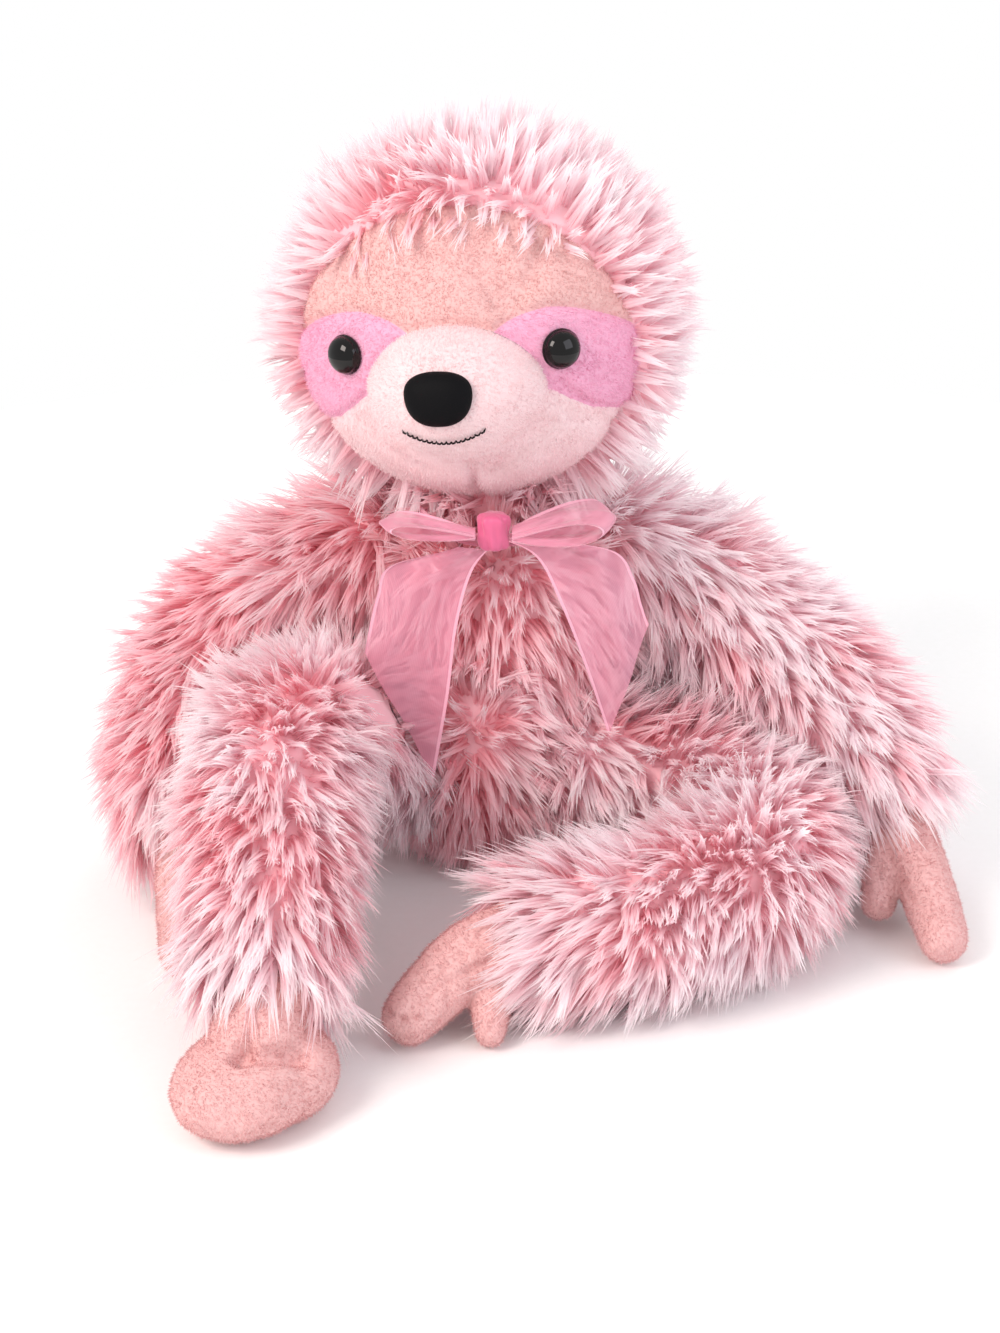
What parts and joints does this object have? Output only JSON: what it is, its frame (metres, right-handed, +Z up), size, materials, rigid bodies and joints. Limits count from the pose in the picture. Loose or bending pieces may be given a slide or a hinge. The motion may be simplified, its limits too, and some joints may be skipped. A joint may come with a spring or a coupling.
{
  "type": "plush sloth toy",
  "caption": "Seated stuffed sloth with long-pile fur, short-pile face and claws, button eyes and a ribbon bow.",
  "frame": {"origin": "middle of the outline box on the floor the toy sits on", "axes": "+Z up, the toy faces -Y, its left side is at +X"},
  "size_m": [0.2752, 0.2622, 0.2455],
  "materials": {
    "long_pile_plush": "long-pile plush, matte",
    "short_pile_pale": "short-pile plush, matte",
    "short_pile_peach": "short-pile plush, matte",
    "short_pile_deep": "short-pile plush, matte",
    "short_pile_paws": "short-pile plush, matte",
    "fibre_filling": "polyester fibre filling",
    "pellet_pouch": "woven pouch of pellets",
    "organza_ribbon": "sheer woven ribbon, satin",
    "black_gloss_plastic": "gloss",
    "black_flock": "flocked",
    "white_washer_plastic": "matte",
    "black_thread": "stitched thread"
  },
  "bodies": {
    "torso": {"body_fur": "long_pile_plush", "body_filling": "fibre_filling", "pellet_pouch": "pellet_pouch", "ribbon_collar": "organza_ribbon", "ribbon_knot": "organza_ribbon", "ribbon_tail_left": "organza_ribbon", "ribbon_tail_right": "organza_ribbon", "ribbon_loop_left": "organza_ribbon", "ribbon_loop_right": "organza_ribbon"},
    "neck": {"neck_filling": "fibre_filling"},
    "head": {"head_fur": "long_pile_plush", "head_filling": "fibre_filling", "brow_panel": "short_pile_peach", "muzzle_panel": "short_pile_pale", "eye_patch_left": "short_pile_deep", "eye_patch_right": "short_pile_deep", "cheek_panel_left": "short_pile_pale", "cheek_panel_right": "short_pile_pale", "eye_left": "black_gloss_plastic", "eye_right": "black_gloss_plastic", "eye_washer_left": "white_washer_plastic", "eye_washer_right": "white_washer_plastic", "nose": "black_flock", "nose_washer": "white_washer_plastic", "mouth_stitch": "black_thread"},
    "right_arm": {"arm_fur_right": "long_pile_plush", "arm_filling_right": "fibre_filling"},
    "right_hand": {"hand_right": "short_pile_paws"},
    "left_arm": {"arm_fur_left": "long_pile_plush", "arm_filling_left": "fibre_filling"},
    "left_hand": {"hand_left": "short_pile_paws"},
    "right_leg": {"leg_fur_right": "long_pile_plush", "leg_filling_right": "fibre_filling"},
    "right_foot": {"foot_right": "short_pile_paws"},
    "left_leg": {"leg_fur_left": "long_pile_plush", "leg_filling_left": "fibre_filling"},
    "left_foot": {"foot_left": "short_pile_paws"}
  },
  "joints": [
    {"name": "head_turn", "type": "hinge", "parent": "torso", "child": "neck", "pos_m": [-0.01174, 0.06924, 0.133], "axis": [0, 0, 1], "range_deg": [-20, 20]},
    {"name": "head_nod", "type": "hinge", "parent": "neck", "child": "head", "pos_m": [-0.01174, 0.06924, 0.133], "axis": [-1, 0, 0], "range_deg": [-3, 8]},
    {"name": "right_shoulder", "type": "hinge", "parent": "torso", "child": "right_arm", "pos_m": [-0.05374, 0.07524, 0.101], "axis": [0, 1, 0], "range_deg": [0, 50]},
    {"name": "right_wrist", "type": "hinge", "parent": "right_arm", "child": "right_hand", "pos_m": [-0.11074, 0.01924, 0.025], "axis": [-1, 0, 0], "range_deg": [0, 15]},
    {"name": "left_shoulder", "type": "hinge", "parent": "torso", "child": "left_arm", "pos_m": [0.03226, 0.07524, 0.101], "axis": [0, -1, 0], "range_deg": [0, 50]},
    {"name": "left_wrist", "type": "hinge", "parent": "left_arm", "child": "left_hand", "pos_m": [0.11826, 0.03124, 0.03], "axis": [-1, 0, 0], "range_deg": [0, 15]},
    {"name": "right_hip", "type": "hinge", "parent": "torso", "child": "right_leg", "pos_m": [-0.04774, 0.04724, 0.04], "axis": [-1, 0, 0], "range_deg": [0, 10]},
    {"name": "right_ankle", "type": "hinge", "parent": "right_leg", "child": "right_foot", "pos_m": [-0.07774, -0.08776, 0.028], "axis": [-1, 0, 0], "range_deg": [0, 15]},
    {"name": "left_hip", "type": "hinge", "parent": "torso", "child": "left_leg", "pos_m": [0.02426, 0.04524, 0.038], "axis": [-0.8211, 0.5708, 0], "range_deg": [0, 20]},
    {"name": "left_ankle", "type": "hinge", "parent": "left_leg", "child": "left_foot", "pos_m": [-0.00374, -0.04776, 0.025], "axis": [-0.6348, 0.7727, 0], "range_deg": [0, 15]}
  ]
}
